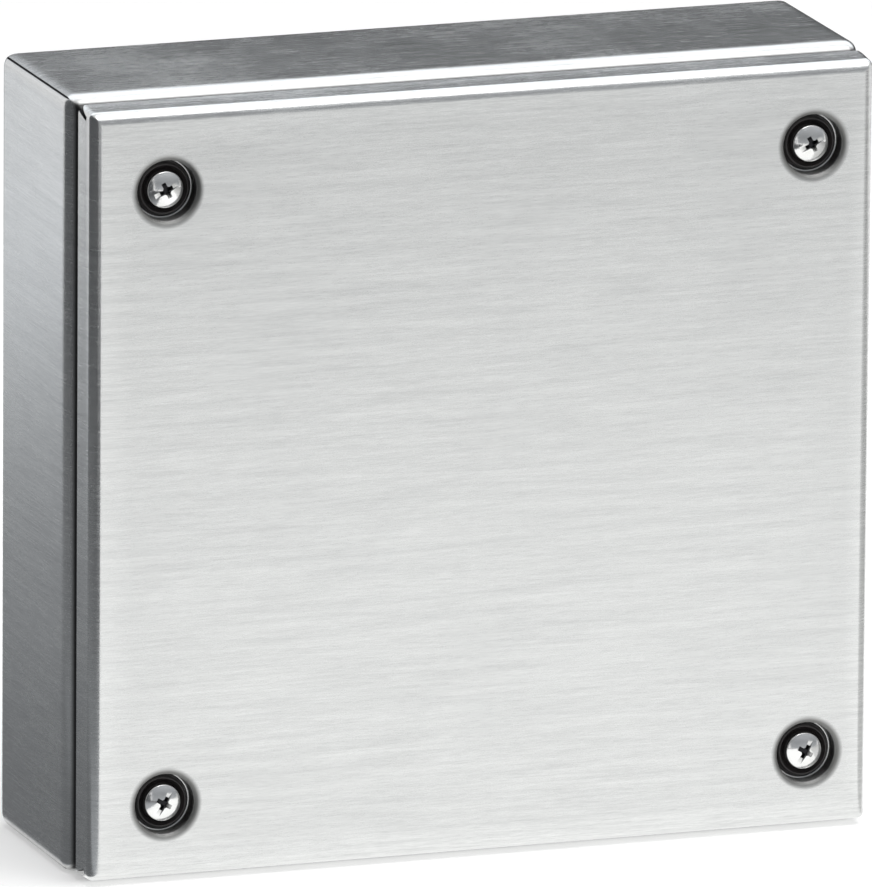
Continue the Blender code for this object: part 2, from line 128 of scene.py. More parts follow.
# Painted shading: where it starts and how fast it fades under the cover's edge, round the recesses and in the
# heads' wells, and how far past a cut a face may lie and still count as inside it
CREVICE_START = 0.0011
CREVICE_FADE = 0.0007
PRESSED_SHADE_START = 0.0093
PRESSED_SHADE_FADE = 0.0012
PRESSED_SHADE_INSIDE = 0.2
WELL_DEPTH = 0.0011
WELL_START = 0.1
WELL_REACH = 0.99
WELL_SHADE = (0.02, 0.02, 0.022)
CUT_MARGIN = 0.00001
SLIT_MARGIN = 0.00005

# The brushed grain: cells per metre along it and across it, and evenly spread marks per metre
FINE_SCRATCHES = (260.0, 4200.0, 1.0)
COARSE_SCRATCHES = (70.0, 1500.0, 1.0)
BRUSHED_BANDS = (22.0, 420.0, 1.0)
HANDLING_MARKS = (26.0, 26.0, 26.0)
SHEET_SWAY = (9.0, 9.0, 9.0)

# How much the sway adds to the grain, how high the grain stands, the cells per metre of a speckled finish's
# clouds as a share of its speckles', and the part of its normal from which a face counts as tilted
SWAY_SHARE = 8.0
GRAIN_HEIGHT = 0.0000028
CLOUD_SHARE = 0.12
LEAST_TILT = 0.02

# Looks of the finishes. Scale is in speckles per metre, and bump is how high they stand
BRUSHED_LOOK = {
    "dark": (0.555, 0.56, 0.56), "light": (0.765, 0.77, 0.765),
    "smoothest": 0.18, "roughest": 0.30, "anisotropy": 0.55,
}
# With wells, a speckled finish paints shade into the screw heads' slot and cross
SPECKLED_LOOKS = {
    "zinc_plated_steel": {
        "colour": (0.74, 0.74, 0.73), "other": (0.82, 0.82, 0.82), "metallic": 1.0,
        "smoothest": 0.08, "roughest": 0.20, "scale": 1800.0, "bump": 0.000010, "wells": True,
    },
    "bracket_steel": {
        "colour": (0.52, 0.52, 0.51), "other": (0.60, 0.60, 0.59), "metallic": 1.0,
        "smoothest": 0.30, "roughest": 0.45, "scale": 900.0, "bump": 0.000010,
    },
    "black_plastic": {
        "colour": (0.010, 0.009, 0.009), "other": (0.018, 0.015, 0.015), "metallic": 0.0,
        "smoothest": 0.30, "roughest": 0.45, "scale": 1500.0, "bump": 0.000012,
    },
    "seal_foam": {
        "colour": (0.020, 0.020, 0.022), "other": (0.035, 0.035, 0.038), "metallic": 0.0,
        "smoothest": 0.75, "roughest": 0.95, "scale": 2500.0, "bump": 0.000080,
    },
    "brass": {
        "colour": (0.72, 0.52, 0.22), "other": (0.80, 0.60, 0.28), "metallic": 1.0,
        "smoothest": 0.22, "roughest": 0.36, "scale": 1200.0, "bump": 0.000008,
    },
}

# The colour and roughness of brushed metal where a painted mask is 1. Each is painted shade: round the
# recesses, where the pressed metal is also duller, under the cover's edge, and in the seams and slits
MASK_LOOKS = {
    "pressed_and_shaded": ((0.24, 0.24, 0.235), 0.55),
    "shaded": ((0.05, 0.05, 0.05), 0.40),
    "gap_shade": ((0.02, 0.02, 0.022), 0.70),
}

# How finely the surfaces are divided
BEND_STEPS = 12
RIM_STEPS = 16
CORNER_STEPS = 14
ROUND_STEPS = 96
SMALL_ROUND_STEPS = 48
WELL_STEPS = 24
THREAD_STEPS = 8
DOME_STEPS = 14
SUPPORT = 0.0002

# Tones of the cards that the metal reflects. Rows run from a card's start to its end
CARD_STEPS = 24
COOL = (0.965, 1.0, 1.04)
NEUTRAL = (1.0, 1.005, 0.995)
LEFT_CARD_TONES = [[0.12, 0.09]]
BACK_CARD_TONES = [4 * [0.9], 4 * [0.35]] + 8 * [[0.0, 0.0, 0.0, 0.10]]
HIGH_CARD_TONES = [[1.7]]
FRONT_CARD_TONES = [[0.45, 0.32, 0.45, 0.6]]
BEHIND_MAT_TONES = [
    *[4 * [tone] for tone in (0.17, 0.20, 0.26, 0.32, 0.48)],
    [0.86, 0.86, 0.86, 0.50],
    [1.24, 1.24, 1.24, 0.30],
]
LEFT_MAT_TONES = [[0.16, 0.19, 0.23, 0.29, 0.38, 0.55]]
FRONT_LEFT_MAT_TONES = [[0.16, 0.19, 0.23, 0.29, 0.38, 0.55], 6 * [0.12], 6 * [0.10], 6 * [0.10]]
FRONT_MAT_TONES = [[1.24], [1.28], [1.22], [1.02], [0.86], [0.70]]
RIGHT_MAT_TONES = [[0.80, 0.25]]

# Places of the cards: just beside and before the box, and the walls of the studio round it
MAT_LIFT = 0.0005
BESIDE_BOX = 0.101
BEFORE_BOX = -0.07
UNDER_COVER = -0.059
LEFT_WALL = -0.50
BACK_WALL = 0.55
FRONT_WALL = -1.20
LEFT_CARD_TOP = 0.60
BACK_CARD_TOP = 0.43
STUDIO_TOP = 1.30

# Light
FLOOR_REACH = 12.0
FLOOR_GLOW = 0.25
SOFT_WHITE = 0.65
SOFTBOXES = {
    "overhead_softbox": {
        "place": (0.25, -0.45, 1.30), "target": (0.0, -0.03, 0.0), "size": (1.3, 1.0), "watts": 12.0
    },
    "front_softbox": {
        "place": (0.9, -1.6, 0.25), "target": (0.0, -0.05, 0.0), "size": (0.9, 0.9), "watts": 5.0
    },
}

# The photograph's camera, found by fitting the box's outline
CAMERA_AZIMUTH = -19.36
CAMERA_ELEVATION = 13.72
CAMERA_ROLL = 0.42
CAMERA_DISTANCE = 5.278
CAMERA_TARGET = (-0.01198, 0.00765)
CAMERA_LENS = 898.7

# Sizes read from the solids
body_low, body_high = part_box("box_body")
cover_low, cover_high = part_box("cover")
CENTRE_X = (body_low[0] + body_high[0]) / 2
CENTRE_Z = (body_low[2] + body_high[2]) / 2
HALF_X = (body_high[0] - body_low[0]) / 2
HALF_Z = (body_high[2] - body_low[2]) / 2
DEPTH = -cover_low[1]
COVER_EDGE = COVER_SETBACK - cover_high[1]
LIP_FORWARD = -body_low[1]
COVER_INSET = cover_low[0] - body_low[0] + FLANGE_SPLAY
FLOOR_Z = body_low[2]
RIM_FORWARD = LIP_FORWARD - LIP_HEIGHT
SEAM_INSET = BODY_CORNER * (1 - math.sqrt(0.5))
SLIT_LENGTH = DEPTH - COVER_BEND - CORNER_SLIT - COVER_EDGE


# Meshes from arrays

# Fills that close both ends of a lone grid
BOTH_ENDS = [[(0, 0)], [(0, -1)]]


def bend(centre_across, centre_forward, radius, start, end, steps=BEND_STEPS, reach=None):
    """A round bend: centre plus radius times (cos, sin) of a turn from start to end in degrees.

    With a reach it is drawn out along the depth: the sine is then multiplied by that instead.
    """
    turn = np.radians(np.linspace(start, end, steps + 1))
    forward = centre_forward + (reach or radius) * np.sin(turn)
    return np.stack([centre_across + radius * np.cos(turn), forward], -1)


def rounded_rectangle(inset, corner, ease, power):
    """Four quarter turns, anticlockwise from the front.

    Along each axis a turn is its reach times the cosine or sine raised to a power: 1 is round. With the
    eased values it runs further along the sides and still passes through the round corner's middle.
    """
    radius = ease * np.maximum(corner, TIGHTEST_CORNER)[:, None]
    side_x = np.repeat([1.0, -1.0, -1.0, 1.0], CORNER_STEPS + 1)
    side_z = np.repeat([1.0, 1.0, -1.0, -1.0], CORNER_STEPS + 1)
    quarter = np.repeat(np.arange(4), CORNER_STEPS + 1)
    turn = np.pi / 2 * (quarter + np.tile(np.linspace(0, 1, CORNER_STEPS + 1), 4))
    reach_x = HALF_X - inset[:, None] - radius
    reach_z = HALF_Z - inset[:, None] - radius
    cos, sin = np.cos(turn), np.sin(turn)
    x = CENTRE_X + side_x * (reach_x + radius * np.abs(cos) ** power)
    z = CENTRE_Z + side_z * (reach_z + radius * np.abs(sin) ** power)
    return x, z


def folded_sheet(profile, ease=1.0, power=1.0):
    """A rounded rectangle carried along the sheet's section: one ring of points per section point."""
    inset, forward, corner = profile.T
    x, z = rounded_rectangle(inset, corner, ease, power)
    return np.stack([x, np.broadcast_to(-forward[:, None], x.shape), z], -1)


def turned_surface(section, x, z, steps=ROUND_STEPS):
    """A (radius, forward) section turned about an axis along the depth through (x, z)."""
    turn = np.linspace(0, 2 * np.pi, steps, endpoint=False)
    radius, forward = section[:, 0][:, None], section[:, 1][:, None]
    across = x + radius * np.cos(turn)
    up = z + radius * np.sin(turn)
    return np.stack([across, np.broadcast_to(-forward, across.shape), up], -1)


def quads_round(rings, points, first, closed=False):
    """Faces between neighbouring rings of a grid whose rings close on themselves."""
    ring = np.arange(rings if closed else rings - 1)[:, None]
    point = np.arange(points)[None, :]
    after = (point + 1) % points
    far = (ring + 1) % rings
    faces = [ring * points + point, ring * points + after, far * points + after, far * points + point]
    return np.stack(faces, -1).reshape(-1, 4) + first


def mesh_of(name, grids, fills=(), closed=False):
    """Joins ring grids into one closed mesh. Each fill lists (grid, ring) loops that bound a flat face."""
    starts = np.cumsum([0] + [grid.shape[0] * grid.shape[1] for grid in grids])
    points = np.concatenate([grid.reshape(-1, 3) for grid in grids])
    faces = [quads_round(*grid.shape[:2], first, closed) for grid, first in zip(grids, starts)]
    mesh = bpy.data.meshes.new(name)
    mesh.from_pydata(points.tolist(), [], np.concatenate(faces).tolist())
    bm = bmesh.new()
    bm.from_mesh(mesh)
    bm.verts.ensure_lookup_table()
    for loops in fills:
        edges = []
        for grid, ring in loops:
            count = grids[grid].shape[1]
            base = int(starts[grid]) + (ring % grids[grid].shape[0]) * count
            verts = [bm.verts[base + step] for step in range(count)]
            pairs = zip(verts, verts[1:] + verts[:1])
            edges += [bm.edges.get(pair) or bm.edges.new(pair) for pair in pairs]
        bmesh.ops.triangle_fill(bm, use_beauty=True, use_dissolve=False, edges=edges)
    bmesh.ops.remove_doubles(bm, verts=bm.verts, dist=1e-7)
    bmesh.ops.recalc_face_normals(bm, faces=bm.faces)
    bm.to_mesh(mesh)
    bm.free()
    return mesh


def join_meshes(name, parts):
    """One mesh of several that don't touch."""
    bm = bmesh.new()
    for part in parts:
        bm.from_mesh(part)
    mesh = bpy.data.meshes.new(name)
    bm.to_mesh(mesh)
    bm.free()
    return mesh


def node_centre(node):
    """The (x, z) middle of a solid."""
    low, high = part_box(node)
    return (low[0] + high[0]) / 2, (low[2] + high[2]) / 2


def corners(reach_x, reach_z):
    """(x, z, side) of the four corners at this reach from the middle. The side is 1 above and -1 below."""
    sides = [(side_x, side_z) for side_x in (-1, 1) for side_z in (-1, 1)]
    return [(CENTRE_X + side_x * reach_x, CENTRE_Z + side_z * reach_z, side_z) for side_x, side_z in sides]


def add_piece(name, mesh, slot, *nodes, degrees=35.0):
    """A finished piece that stands for its CAD nodes and rides on the box."""
    piece = bpy.data.objects.new(name, mesh)
    bpy.context.scene.collection.objects.link(piece)
    mesh.shade_smooth()
    mesh.set_sharp_from_angle(angle=math.radians(degrees))
    mesh.materials.append(FINISHES[slot])
    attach(piece, "root")
    if nodes:
        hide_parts(*nodes)
    return piece


def cut_out(mesh, cutters):
    """The mesh with every cutter mesh taken out of it, as a new mesh."""
    holder = bpy.data.objects.new("holder", mesh)
    bpy.context.scene.collection.objects.link(holder)
    tools = []
    for cutter in cutters:
        tool = bpy.data.objects.new("tool", cutter)
        bpy.context.scene.collection.objects.link(tool)
        tools.append(tool)
        difference = holder.modifiers.new("cut", "BOOLEAN")
        difference.operation = "DIFFERENCE"
        difference.object = tool
    bpy.context.view_layer.update()
    depsgraph = bpy.context.evaluated_depsgraph_get()
    result = bpy.data.meshes.new_from_object(holder.evaluated_get(depsgraph), depsgraph=depsgraph)
    result.name = mesh.name
    for spare in [holder, *tools]:
        bpy.data.objects.remove(spare, do_unlink=True)
    return result


def block(centre, size, turn=0.0, taper=1.0, lean=0.0):
    """A box about a centre, narrowing to its far end, turned about the depth axis or leaning about X."""
    cube = np.array([(x, y, z) for x in (-0.5, 0.5) for y in (-0.5, 0.5) for z in (-0.5, 0.5)])
    wide, deep, high = (cube * np.asarray(size)).T
    wide = wide * np.where(deep > 0, taper, 2 - taper)
    x = wide * math.cos(turn) - high * math.sin(turn)
    risen = wide * math.sin(turn) + high * math.cos(turn)
    y = deep * math.cos(lean) - risen * math.sin(lean)
    z = deep * math.sin(lean) + risen * math.cos(lean)
    points = np.stack([x, y, z], -1) + np.asarray(centre)
    faces = [(0, 1, 3, 2), (4, 6, 7, 5), (0, 4, 5, 1), (2, 3, 7, 6), (0, 2, 6, 4), (1, 5, 7, 3)]
    mesh = bpy.data.meshes.new("block")
    mesh.from_pydata(points.tolist(), [], faces)
    bm = bmesh.new()
    bm.from_mesh(mesh)
    bmesh.ops.recalc_face_normals(bm, faces=bm.faces)
    bm.to_mesh(mesh)
    bm.free()
    return mesh


def lay_brushing(mesh, front):
    """Writes the brushing map: U runs along the grain and V across it, both in metres.

    The grain is level on the front and back. It stays along X on the top and bottom, and runs on along
    the depth on the left and right sides. Each map is laid out flat from the front plane, so that it runs
    on over the bends: U = x + side * (y + front) on the sides and V = z + side * (y + front) above and
    below, where side is the sign of the face's normal.
    """
    count = len(mesh.polygons)
    normals = np.empty(count * 3, np.float32)
    mesh.polygons.foreach_get("normal", normals)
    normals = normals.reshape(-1, 3)
    loop_vertex = np.empty(len(mesh.loops), np.int32)
    mesh.loops.foreach_get("vertex_index", loop_vertex)
    totals = np.empty(count, np.int32)
    mesh.polygons.foreach_get("loop_total", totals)
    at_loop = mesh_points(mesh)[loop_vertex]
    across, up = normals[:, 0], normals[:, 2]
    on_side = (np.abs(across) > np.abs(up)) & (np.abs(across) > LEAST_TILT)
    sideways = np.repeat(np.where(on_side, np.sign(across), 0.0), totals)
    upright = np.repeat(np.where(~on_side & (np.abs(up) > LEAST_TILT), np.sign(up), 0.0), totals)
    x, y, z = at_loop.T
    u = x + sideways * (y + front)
    v = z + upright * (y + front)
    layer = mesh.uv_layers.new(name="brushing")
    layer.data.foreach_set("uv", np.stack([u, v], -1).astype(np.float32).ravel())


def mesh_points(mesh):
    """All points of a mesh as one array."""
    points = np.empty(len(mesh.vertices) * 3, np.float32)
    mesh.vertices.foreach_get("co", points)
    return points.reshape(-1, 3)


def face_centres(mesh):
    """The middles of a mesh's faces as one array."""
    centres = np.empty(len(mesh.polygons) * 3, np.float32)
    mesh.polygons.foreach_get("center", centres)
    return centres.reshape(-1, 3)


def write_mask(mesh, name, domain, values):
    """Keeps one number per point or face, which the finishes read by name."""
    mesh.attributes.new(name, "FLOAT", domain).data.foreach_set("value", np.asarray(values, np.float32))


# Node helpers

def new_node(tree, kind, **settings):
    """A node with its settings, such as its operation."""
    node = tree.nodes.new(kind)
    for name, value in settings.items():
        setattr(node, name, value)
    return node


def join(tree, source, target):
    """A link from an output to an input."""
    tree.links.new(source, target)


def feed(tree, target, value):
    """Gives an input a fixed value, or links it to an output."""
    if isinstance(value, bpy.types.NodeSocket):
        join(tree, value, target)
    else:
        target.default_value = value


def set_inputs(node, **values):
    """Sets a node's inputs by their names, with _ for a space."""
    for name, value in values.items():
        node.inputs[name.replace("_", " ")].default_value = value


def new_group(name, inputs, outputs):
    """A shader node group. Its inputs and outputs are given by their names and kinds."""
    group = bpy.data.node_groups.new(name, "ShaderNodeTree")
    for in_out, sockets in (("INPUT", inputs), ("OUTPUT", outputs)):
        for label, kind in sockets.items():
            group.interface.new_socket(label, in_out=in_out, socket_type=f"NodeSocket{kind}")
    return group, group.nodes.new("NodeGroupInput"), group.nodes.new("NodeGroupOutput")


def stretched_noise(tree, vector, scale, detail, roughness):
    """Noise whose cells are longer along one axis: the vector is scaled before the noise reads it."""
    mapping = new_node(tree, "ShaderNodeMapping")
    mapping.inputs["Scale"].default_value = scale
    noise = new_node(tree, "ShaderNodeTexNoise")
    set_inputs(noise, Scale=1.0, Detail=detail, Roughness=roughness)
    join(tree, vector, mapping.inputs["Vector"])
    join(tree, mapping.outputs["Vector"], noise.inputs["Vector"])
    return noise.outputs["Fac"]


def spread(tree, value, low, high, to_low, to_high):
    """Maps a value from one range to another, clamped."""
    node = new_node(tree, "ShaderNodeMapRange")
    set_inputs(node, From_Min=low, From_Max=high)
    feed(tree, node.inputs["To Min"], to_low)
    feed(tree, node.inputs["To Max"], to_high)
    join(tree, value, node.inputs["Value"])
    return node.outputs["Result"]


def arithmetic(tree, operation, first, second):
    """One operation on two values or outputs."""
    node = new_node(tree, "ShaderNodeMath", operation=operation)
    feed(tree, node.inputs[0], first)
    feed(tree, node.inputs[1], second)
    return node.outputs[0]


def weighted_sum(tree, first, second):
    """The sum of two (value, weight) pairs."""
    parts = [arithmetic(tree, "MULTIPLY", value, weight) for value, weight in (first, second)]
    return arithmetic(tree, "ADD", *parts)


def mix_colour(tree, factor, first, second, blend_type="MIX"):
    """Two colours mixed by a factor. Each may be a value or an output."""
    node = new_node(tree, "ShaderNodeMix", data_type="RGBA", blend_type=blend_type)
    for place, value in ((0, factor), (6, first), (7, second)):
        feed(tree, node.inputs[place], value)
    return node.outputs[2]


def brushed_grain_group():
    """Fine scratches along the grain, broader bands, faint handling marks and a slow sway of the sheet."""
    group, taken, given = new_group(
        "brushed_grain",
        {"Brushing": "Vector", "Place": "Vector", "Dark": "Color", "Light": "Color",
         "Smoothest": "Float", "Roughest": "Float"},
        {"Color": "Color", "Roughness": "Float", "Height": "Float"},
    )
    brushing, place = taken.outputs["Brushing"], taken.outputs["Place"]
    fine = stretched_noise(group, brushing, FINE_SCRATCHES, detail=4.0, roughness=0.7)
    coarse = stretched_noise(group, brushing, COARSE_SCRATCHES, detail=3.0, roughness=0.6)
    bands = stretched_noise(group, brushing, BRUSHED_BANDS, detail=3.0, roughness=0.55)
    marks = stretched_noise(group, place, HANDLING_MARKS, detail=4.0, roughness=0.6)
    sway = stretched_noise(group, place, SHEET_SWAY, detail=1.0, roughness=0.4)
    scratches = weighted_sum(group, (fine, 0.6), (coarse, 0.4))
    tone = weighted_sum(group, (scratches, 0.75), (bands, 0.25))
    shade = spread(group, tone, 0.36, 0.64, 0.0, 1.0)
    colour = mix_colour(group, shade, taken.outputs["Dark"], taken.outputs["Light"])
    rough = spread(group, scratches, 0.30, 0.70, taken.outputs["Smoothest"], taken.outputs["Roughest"])
    handled = spread(group, marks, 0.45, 0.75, 0.0, 0.05)
    rough = arithmetic(group, "ADD", rough, handled)
    height = weighted_sum(group, (scratches, 1.0), (sway, SWAY_SHARE))
    join(group, colour, given.inputs["Color"])
    join(group, rough, given.inputs["Roughness"])
    join(group, height, given.inputs["Height"])
    return group


def new_finish(name):
    """A material, its node tree and its shader."""
    material = bpy.data.materials.new(name)
    material.use_nodes = True
    tree = material.node_tree
    return material, tree, tree.nodes["Principled BSDF"]


def bump_from(tree, height, distance, shader):
    """Feeds the shader's normal from a height of 0 to 1 that stands for this distance."""
    bump = new_node(tree, "ShaderNodeBump")
    set_inputs(bump, Strength=1.0, Distance=distance)
    join(tree, height, bump.inputs["Height"])
    join(tree, bump.outputs["Normal"], shader.inputs["Normal"])


def brushed_finish(name, group, dark, light, smoothest, roughest, anisotropy):
    """Brushed stainless steel: the grain stretches the highlights across itself.

    Three masks darken it with painted shade and make it duller: round the recesses, where the metal is
    pressed, under the cover's edge, and in the seams and slits.
    """
    material, tree, shader = new_finish(name)
    set_inputs(shader, Metallic=1.0, Anisotropic=anisotropy, Anisotropic_Rotation=0.25)
    map_of_grain = new_node(tree, "ShaderNodeUVMap", uv_map="brushing")
    coordinates = new_node(tree, "ShaderNodeTexCoord")
    grain = new_node(tree, "ShaderNodeGroup", node_tree=group)
    set_inputs(grain, Dark=(*dark, 1.0), Light=(*light, 1.0), Smoothest=smoothest, Roughest=roughest)
    join(tree, map_of_grain.outputs["UV"], grain.inputs["Brushing"])
    join(tree, coordinates.outputs["Object"], grain.inputs["Place"])
    colour, rough = grain.outputs["Color"], grain.outputs["Roughness"]
    for mask_name, (tone, dull) in MASK_LOOKS.items():
        mask = new_node(tree, "ShaderNodeAttribute", attribute_name=mask_name).outputs["Fac"]
        colour = mix_colour(tree, mask, colour, (*tone, 1.0))
        rough = spread(tree, mask, 0.0, 1.0, rough, dull)
    join(tree, colour, shader.inputs["Base Color"])
    join(tree, rough, shader.inputs["Roughness"])
    bump_from(tree, grain.outputs["Height"], GRAIN_HEIGHT, shader)
    tangent = new_node(tree, "ShaderNodeTangent", direction_type="UV_MAP", uv_map="brushing")
    join(tree, tangent.outputs["Tangent"], shader.inputs["Tangent"])
    return material


def speckled_finish(name, colour, other, metallic, smoothest, roughest, scale, bump, wells=False):
    """A finish with a fine, even variation of colour, roughness and height, and painted shade in the wells if
    asked.
    """
    material, tree, shader = new_finish(name)
    set_inputs(shader, Metallic=metallic)
    coordinates = new_node(tree, "ShaderNodeTexCoord")
    place = coordinates.outputs["Object"]
    cells = stretched_noise(tree, place, (scale,) * 3, detail=4.0, roughness=0.6)
    broad = stretched_noise(tree, place, (scale * CLOUD_SHARE,) * 3, detail=2.0, roughness=0.5)
    tone = mix_colour(tree, spread(tree, broad, 0.35, 0.65, 0.0, 1.0), (*colour, 1.0), (*other, 1.0))
    # Painted shade: the deeper a point lies in the head's slot and cross, the darker it is
    if wells:
        sunk = new_node(tree, "ShaderNodeAttribute", attribute_name="sunk")
        tone = mix_colour(tree, sunk.outputs["Fac"], tone, (*WELL_SHADE, 1.0))
    join(tree, tone, shader.inputs["Base Color"])
    join(tree, spread(tree, cells, 0.3, 0.7, smoothest, roughest), shader.inputs["Roughness"])
    bump_from(tree, cells, bump, shader)
    return material


FINISHES = {"brushed_stainless": brushed_finish("brushed_stainless", brushed_grain_group(), **BRUSHED_LOOK)}
for finish_name, look in SPECKLED_LOOKS.items():
    FINISHES[finish_name] = speckled_finish(finish_name, **look)


# Body

def body_section():
    """(inset, forward, corner radius) along the sheet, from the middle of the back round to its inside."""
    lip_inset = RIM_BEND + RIM_FLAT + LIP_FOLD
    fold_across, fold_forward = lip_inset - LIP_FOLD, RIM_FORWARD + LIP_FOLD
    back = bend(BACK_BEND, BACK_BEND, BACK_BEND, 270, 180)
    rim_centre = RIM_FORWARD - RIM_REACH
    rim = bend(RIM_BEND, rim_centre, RIM_BEND, 180, 90, RIM_STEPS, RIM_REACH)
    fold = bend(fold_across, fold_forward, LIP_FOLD, 270, 360, 4)
    lip = np.array([(lip_inset, LIP_FORWARD), (lip_inset + SHEET, LIP_FORWARD)])
    under_fold = bend(fold_across, fold_forward, LIP_FOLD + SHEET, 360, 270, 4)
    under_rim = bend(RIM_BEND, rim_centre, RIM_BEND - SHEET, 90, 180, RIM_STEPS, RIM_REACH - SHEET)
    under_back = bend(BACK_BEND, BACK_BEND, BACK_BEND - SHEET, 180, 270)

    def with_corner(points, corner):
        return np.column_stack([points, corner - points[:, 0]])

    def supported(points, start_step, end_step):
        """Adds a close ring on the flat before and after the points, so that flats shade flat."""
        return np.vstack([points[:1] + start_step, points, points[-1:] + end_step])

    outside = [
        with_corner(supported(back, (SUPPORT, 0), (0, SUPPORT)), BODY_CORNER),
        with_corner(supported(rim, (0, -SUPPORT), (SUPPORT, 0)), BODY_CORNER),
    ]
    upright = [with_corner(points, LIP_CORNER + lip_inset) for points in (fold, lip, under_fold)]
    inside = [
        with_corner(supported(under_rim, (SUPPORT, 0), (0, -SUPPORT)), BODY_CORNER),
        with_corner(supported(under_back, (0, SUPPORT), (SUPPORT, 0)), BODY_CORNER),
    ]
    return np.vstack(outside + upright + inside)


def wall_hole_drills():
    """Round cutters for the wall holes, at the places of their stoppers."""
    drill = np.array([(WALL_HOLE_RADIUS, -SHEET), (WALL_HOLE_RADIUS, 2 * SHEET)])
    stoppers = [node for node in frame["nodes"] if node.startswith("wall_hole_stopper")]
    grids = [turned_surface(drill, *node_centre(node), SMALL_ROUND_STEPS) for node in stoppers]
    return [mesh_of("drill", [grid], BOTH_ENDS) for grid in grids]


def seam_grooves():
    """Square bars along the middle of the body's four corner bends, between its back and rim bends."""
    start, end = SEAM_FADE * BACK_BEND, RIM_FORWARD - SEAM_FADE * RIM_BEND
    size = (SEAM_WIDTH, end - start, SEAM_WIDTH)
    middle = -(start + end) / 2
    return [block((x, middle, z), size) for x, z, _ in corners(HALF_X - SEAM_INSET, HALF_Z - SEAM_INSET)]


def mark_body(mesh):
    """Writes the painted shade under the cover's edge and in the seams.

    The shade under the edge rises from 0 to 1 with a rim point's distance in from the body's side.
    The painted shade in the seams is 1 on the faces whose middles lie within half the groove's width of a
    seam, both across and up.
    """
    points = mesh_points(mesh)
    inset_x = HALF_X - np.abs(points[:, 0] - CENTRE_X)
    inset_z = HALF_Z - np.abs(points[:, 2] - CENTRE_Z)
    shade = np.clip((np.minimum(inset_x, inset_z) - CREVICE_START) / CREVICE_FADE, 0, 1)
    write_mask(mesh, "shaded", "POINT", shade * (-points[:, 1] > RIM_FORWARD - RIM_REACH))
    middles = face_centres(mesh)
    off_x = np.abs(np.abs(middles[:, 0] - CENTRE_X) - (HALF_X - SEAM_INSET))
    off_z = np.abs(np.abs(middles[:, 2] - CENTRE_Z) - (HALF_Z - SEAM_INSET))
    # Painted shade: the faces inside the seam grooves are darkened
    write_mask(mesh, "gap_shade", "FACE", np.maximum(off_x, off_z) < SEAM_WIDTH / 2 + CUT_MARGIN)


def make_body():
    """The body's folded sheet with its wall holes and seams."""
    sheet = folded_sheet(body_section(), CORNER_EASE, CORNER_POWER)
    mesh = mesh_of("box_body_skin", [sheet], BOTH_ENDS)
    mesh = cut_out(mesh, wall_hole_drills() + seam_grooves())
    lay_brushing(mesh, RIM_FORWARD)
    mark_body(mesh)
    add_piece("box_body_sheet", mesh, "brushed_stainless", "box_body")


# Cover

def cover_section():
    """(inset, forward, corner radius) along the sheet, from the front face round to its inside."""
    outer = bend(COVER_BEND, DEPTH - COVER_BEND, COVER_BEND, 90, 180)
    inner = bend(COVER_BEND, DEPTH - COVER_BEND, COVER_BEND - SHEET, 180, 90)
    edge = np.array([(-FLANGE_SPLAY, COVER_EDGE), (SHEET - FLANGE_SPLAY, COVER_EDGE)])
    flat, down = (SUPPORT, 0.0), (0.0, -SUPPORT)
    points = np.vstack([outer[:1] + flat, outer, outer[-1:] + down, edge, inner, inner[-1:] + flat])
    return np.column_stack([COVER_INSET + points[:, 0], points[:, 1], COVER_CORNER - points[:, 0]])


def recess_section():
    """(radius, forward) down the front of a pressed recess, through its hole and up behind it."""
    floor = DEPTH - RECESS_DEPTH
    shoulder_radius = RECESS_RADIUS + RECESS_TAPER + RECESS_SHOULDER
    floor_radius = RECESS_RADIUS - RECESS_FILLET
    low_radius = LEDGE_RADIUS - LEDGE_WIDTH
    behind = RECESS_FILLET + SHEET
    dish_end = 90 + DISH_DEGREES
    dish = bend(MOUTH_RADIUS, DEPTH - DISH_ROUND, DISH_ROUND, 90, dish_end, 4)
    mouth_across = MOUTH_RADIUS + (DISH_ROUND - MOUTH_ROUND) * math.cos(math.radians(dish_end))
    mouth_forward = DEPTH - DISH_ROUND + (DISH_ROUND - MOUTH_ROUND) * math.sin(math.radians(dish_end))
    mouth = bend(mouth_across, mouth_forward, MOUTH_ROUND, dish_end, 180)
    ledge, round_off = DEPTH - LEDGE_DEPTH, SUPPORT / 2
    ledge_fillet = bend(LEDGE_RADIUS - round_off, ledge + round_off, round_off, 360, 270, 3)
    ledge_edge = bend(low_radius + round_off, ledge - round_off, round_off, 90, 180, 3)
    fillet = bend(low_radius - RECESS_FILLET, floor + RECESS_FILLET, RECESS_FILLET, 360, 270, 4)
    hole = np.array([(SCREW_HOLE_RADIUS, floor), (SCREW_HOLE_RADIUS, floor - SHEET)])
    back_fillet = bend(floor_radius, floor + RECESS_FILLET, behind, 270, 360, 6)
    back_shoulder = bend(shoulder_radius, DEPTH - RECESS_SHOULDER, RECESS_SHOULDER - SHEET, 180, 90, 4)
    flat = np.array([(SUPPORT, 0.0)])
    front = [dish[:1] + flat, dish, mouth[1:], ledge_fillet, ledge_edge, fillet]
    return np.vstack([*front, hole, back_fillet, back_shoulder, back_shoulder[-1:] + flat])


def screw_centres():
    """The (x, z) place of each cover screw, read from its solid."""
    return {corner: node_centre(f"cover_screw_{corner}") for corner in SLOT_DEGREES}


def slit_cutters():
    """Slanted blocks that cut the cover's flange open at its corners."""
    lean = math.atan2(SLIT_LEAN, SLIT_LENGTH)
    size = (2 * SLIT_REACH, 2 * SLIT_LENGTH, CORNER_SLIT)
    places = corners(HALF_X - COVER_INSET, HALF_Z - COVER_INSET - SLIT_START)
    return [block((x, -COVER_EDGE, z), size, lean=side * lean) for x, z, side in places]


